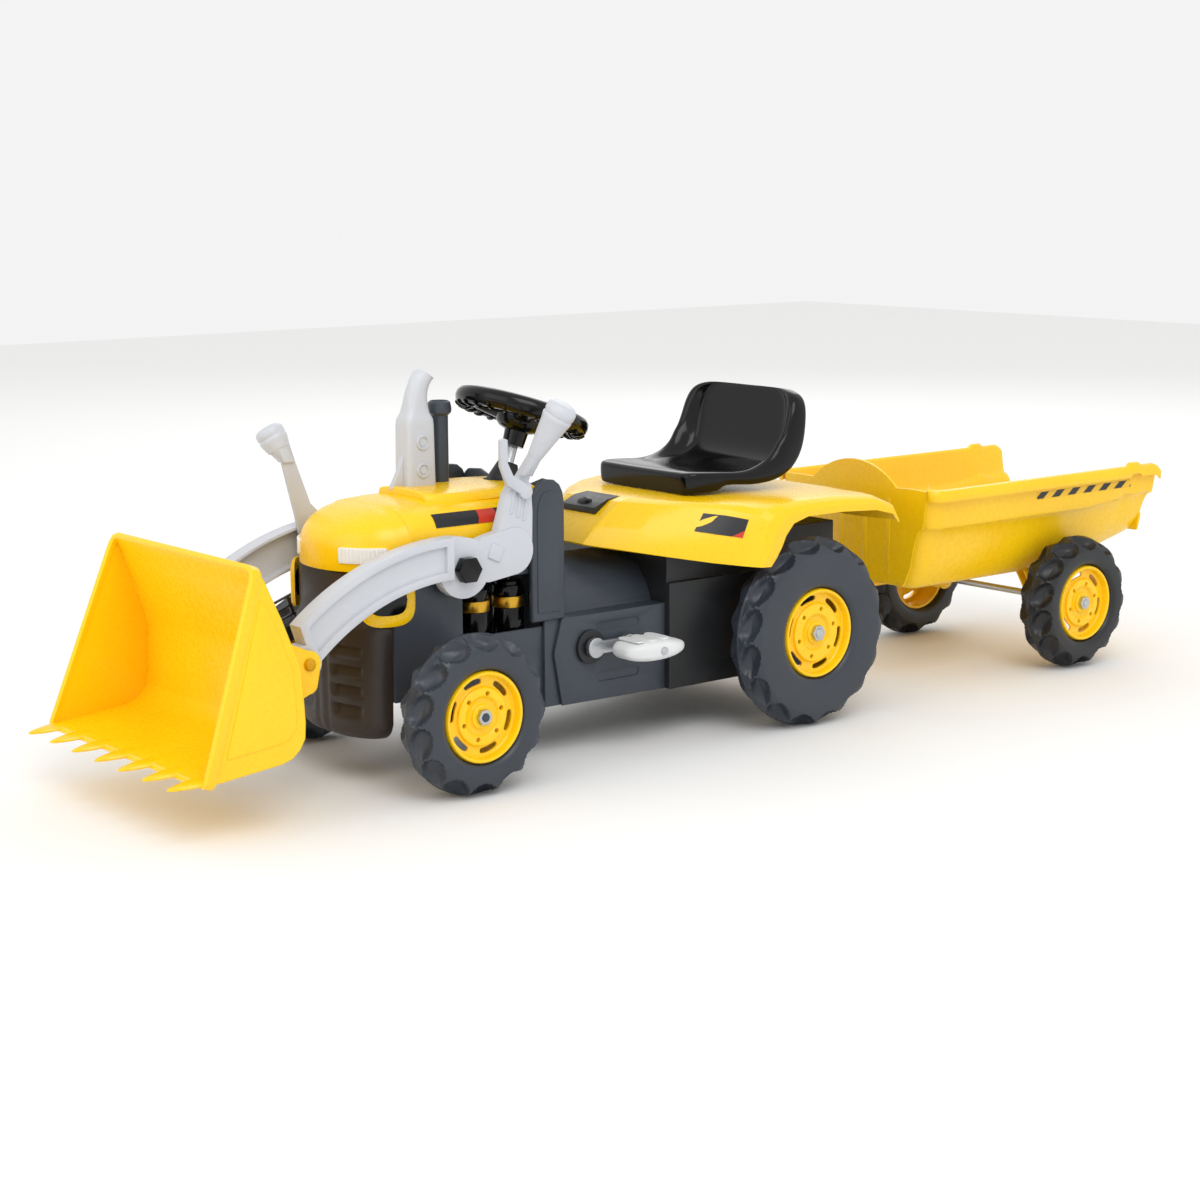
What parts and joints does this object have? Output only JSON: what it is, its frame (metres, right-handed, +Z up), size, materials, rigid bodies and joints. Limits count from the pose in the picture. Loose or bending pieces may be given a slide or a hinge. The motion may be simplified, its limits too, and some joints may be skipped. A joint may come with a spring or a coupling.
{
  "type": "pedal loader tractor with trailer",
  "caption": "Child's pedal tractor with a front loader bucket on two lever arms, chain drive, steering, seat and a towed tub trailer.",
  "frame": {"origin": "on the ground below the middle of the overall box", "axes": "+X forwards towards the bucket, +Y to the rider's left, +Z up"},
  "size_m": [1.717, 0.42, 0.4914],
  "materials": {
    "yellow_plastic": "glossy blow-moulded yellow",
    "slate_plastic": "satin slate grey moulded plastic",
    "box_plastic": "satin dark grey moulded plastic",
    "black_gloss": "glossy black plastic",
    "silver_plastic": "satin silver grey moulded plastic",
    "grille_plastic": "satin brown black plastic",
    "tyre_slate": "blow-moulded hard plastic",
    "tyre_black": "blow-moulded hard plastic",
    "steel": "zinc plated",
    "band_gold": "gold coloured band",
    "lens_white": "ribbed white lens",
    "pedal_white": "off-white moulded plastic",
    "boot_rubber": "soft black rubber"
  },
  "bodies": {
    "chassis": {"front_chassis": "slate_plastic", "front_axle_beam": "steel", "front_grille": "grille_plastic", "hood": "yellow_plastic", "headlight_lenses": "lens_white", "lamp_surrounds": "yellow_plastic", "engine_cylinders": "black_gloss", "cylinder_bands": "band_gold", "dash_fairing": "slate_plastic", "column_boot": "boot_rubber", "exhaust_stack": "silver_plastic", "drive_housing": "slate_plastic", "seat_box": "box_plastic", "axle_bushes": "black_gloss", "rear_cover": "yellow_plastic", "tow_hitch": "box_plastic", "hitch_pin": "steel", "drive_chain": "steel"},
    "seat": {"seat": "black_gloss"},
    "steering": {"steering_wheel": "black_gloss", "steering_column": "steel", "horn_spring": "steel"},
    "horn": {"horn_button": "yellow_plastic"},
    "knuckle_left": {"knuckle_left": "steel", "front_nut_left": "steel"},
    "knuckle_right": {"knuckle_right": "steel", "front_nut_right": "steel"},
    "tie_rod": {"tie_rod": "steel"},
    "front_wheel_left": {"front_tyre_left": "tyre_slate", "front_rim_left": "yellow_plastic"},
    "front_wheel_right": {"front_tyre_right": "tyre_slate", "front_rim_right": "yellow_plastic"},
    "rear_wheels": {"rear_axle": "steel", "rear_tyre_left": "tyre_slate", "rear_tyre_right": "tyre_slate", "rear_rim_left": "yellow_plastic", "rear_rim_right": "yellow_plastic", "rear_hub_nuts": "steel", "driven_sprocket": "steel"},
    "crank": {"crank_axle": "silver_plastic", "drive_sprocket": "steel"},
    "pedal_left": {"pedal_left": "pedal_white"},
    "pedal_right": {"pedal_right": "pedal_white"},
    "loader": {"loader_arm_left": "silver_plastic", "loader_arm_right": "silver_plastic", "pivot_shaft": "steel", "pivot_knobs": "black_gloss"},
    "trigger": {"lever_trigger": "silver_plastic"},
    "tip_lever": {"tip_lever": "silver_plastic"},
    "tip_link": {"tip_link": "grille_plastic"},
    "bucket": {"bucket": "yellow_plastic", "bucket_pins": "steel"},
    "trailer": {"trailer_tub": "yellow_plastic", "trailer_drawbar": "black_gloss", "trailer_axle": "steel", "trailer_nuts": "steel"},
    "trailer_wheel_left": {"trailer_tyre_left": "tyre_black", "trailer_rim_left": "yellow_plastic"},
    "trailer_wheel_right": {"trailer_tyre_right": "tyre_black", "trailer_rim_right": "yellow_plastic"}
  },
  "joints": [
    {"name": "steering_turn", "type": "hinge", "parent": "chassis", "child": "steering", "pos_m": [0.24049, 0, 0.43], "axis": [-0.342, 0, 0.9397], "range_deg": [-35, 35]},
    {"name": "horn_press", "type": "slide", "parent": "steering", "child": "horn", "axis": [0.342, 0, -0.9397], "range_m": [0, 0.003], "stiffness_N_per_m": 600, "springref_m": -0.002, "deforming": ["horn_spring"]},
    {"name": "knuckle_left_turn", "type": "hinge", "parent": "chassis", "child": "knuckle_left", "pos_m": [0.45448, 0.118, 0.098], "axis": [0, 0, 1], "range_deg": [-21, 21]},
    {"name": "knuckle_right_turn", "type": "hinge", "parent": "chassis", "child": "knuckle_right", "pos_m": [0.45448, -0.118, 0.098], "axis": [0, 0, 1], "range_deg": [-21, 21]},
    {"name": "tie_rod_turn", "type": "hinge", "parent": "knuckle_left", "child": "tie_rod", "pos_m": [0.39948, 0.118, 0.086], "axis": [0, 0, 1], "range_deg": [-21, 21]},
    {"name": "front_wheel_left_spin", "type": "hinge", "parent": "knuckle_left", "child": "front_wheel_left", "pos_m": [0.45448, 0.181, 0.098], "axis": [0, 1, 0], "continuous": true},
    {"name": "front_wheel_right_spin", "type": "hinge", "parent": "knuckle_right", "child": "front_wheel_right", "pos_m": [0.45448, -0.181, 0.098], "axis": [0, 1, 0], "continuous": true},
    {"name": "rear_axle_spin", "type": "hinge", "parent": "chassis", "child": "rear_wheels", "pos_m": [-0.09752, 0, 0.127], "axis": [0, 1, 0], "continuous": true},
    {"name": "crank_spin", "type": "hinge", "parent": "chassis", "child": "crank", "pos_m": [0.21849, 0, 0.137], "axis": [0, 1, 0], "continuous": true, "deforming": ["drive_chain"]},
    {"name": "pedal_left_spin", "type": "hinge", "parent": "crank", "child": "pedal_left", "pos_m": [0.16448, 0.163, 0.137], "axis": [0, 1, 0], "continuous": true},
    {"name": "pedal_right_spin", "type": "hinge", "parent": "crank", "child": "pedal_right", "pos_m": [0.27248, -0.163, 0.137], "axis": [0, 1, 0], "continuous": true},
    {"name": "loader_lift", "type": "hinge", "parent": "chassis", "child": "loader", "pos_m": [0.42349, 0, 0.262], "axis": [0, -1, 0], "range_deg": [-6, 30]},
    {"name": "trigger_pull", "type": "hinge", "parent": "loader", "child": "trigger", "pos_m": [0.33348, 0.125, 0.348], "axis": [0, -1, 0], "range_deg": [0, 12], "stiffness_Nm_per_rad": 0.4, "springref_deg": -8.59},
    {"name": "bucket_tilt", "type": "hinge", "parent": "loader", "child": "bucket", "pos_m": [0.65451, 0, 0.17896], "axis": [0, 1, 0], "range_deg": [-15, 38]},
    {"name": "tip_lever_turn", "type": "hinge", "parent": "loader", "child": "tip_lever", "pos_m": [0.42349, -0.107, 0.262], "axis": [0, 1, 0], "range_deg": [-15, 38]},
    {"name": "tip_link_turn", "type": "hinge", "parent": "tip_lever", "child": "tip_link", "pos_m": [0.42349, -0.101, 0.238], "axis": [0, 1, 0], "range_deg": [-38, 15]},
    {"name": "seat_slide", "type": "slide", "parent": "chassis", "child": "seat", "axis": [1, 0, 0], "range_m": [-0.03, 0]},
    {"name": "trailer_yaw", "type": "hinge", "parent": "chassis", "child": "trailer", "pos_m": [-0.26251, 0, 0.136], "axis": [0, 0, 1], "range_deg": [-30, 30]},
    {"name": "trailer_wheel_left_spin", "type": "hinge", "parent": "trailer", "child": "trailer_wheel_left", "pos_m": [-0.65642, 0.165, 0.098], "axis": [0, 1, 0], "continuous": true},
    {"name": "trailer_wheel_right_spin", "type": "hinge", "parent": "trailer", "child": "trailer_wheel_right", "pos_m": [-0.65642, -0.165, 0.098], "axis": [0, 1, 0], "continuous": true}
  ],
  "couplings": [
    {"joint": "knuckle_left_turn", "follows": "steering_turn", "ratio": 0.57143},
    {"joint": "knuckle_right_turn", "follows": "steering_turn", "ratio": 0.57143},
    {"joint": "tie_rod_turn", "follows": "steering_turn", "ratio": -0.57143},
    {"joint": "crank_spin", "follows": "rear_axle_spin", "ratio": 0.85714},
    {"joint": "tip_lever_turn", "follows": "bucket_tilt", "ratio": 1},
    {"joint": "tip_link_turn", "follows": "bucket_tilt", "ratio": -1}
  ]
}
